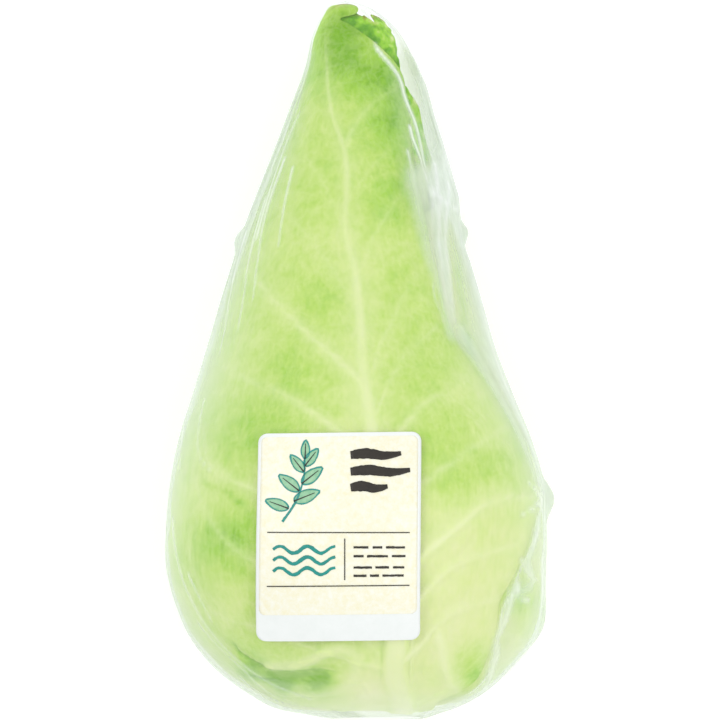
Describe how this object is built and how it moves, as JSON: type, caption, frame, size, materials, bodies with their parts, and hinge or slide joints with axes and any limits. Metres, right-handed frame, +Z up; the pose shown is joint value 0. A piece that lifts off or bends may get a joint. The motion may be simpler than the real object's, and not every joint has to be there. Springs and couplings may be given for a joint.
{
  "type": "pointed cabbage in film wrap",
  "caption": "Pointed cabbage lying on its back: a cone-shaped head of ribbed, overlapping leaves in a clear film wrap, with a plain paper label on top.",
  "frame": {"origin": "centre of the object's box, on the surface that it lies on", "axes": "+Y runs to the point of the head, -Y to the cut stalk; +Z is up, through the label; +X is to the right as seen from above with the point away"},
  "size_m": [0.1349, 0.2499, 0.1195],
  "materials": {
    "film": "gloss",
    "label_paper": "satin",
    "front_leaf": "satin",
    "right_leaf": "satin",
    "left_leaf": "satin",
    "tip_leaf": "satin",
    "back_leaf": "satin",
    "heart": "satin",
    "stalk": "matte"
  },
  "bodies": {
    "root": {"film_wrap": "film", "label": "label_paper", "front_leaf": "front_leaf", "right_leaf": "right_leaf", "left_leaf": "left_leaf", "tip_leaf": "tip_leaf", "back_leaf": "back_leaf", "heart": "heart", "stalk": "stalk"}
  },
  "joints": []
}
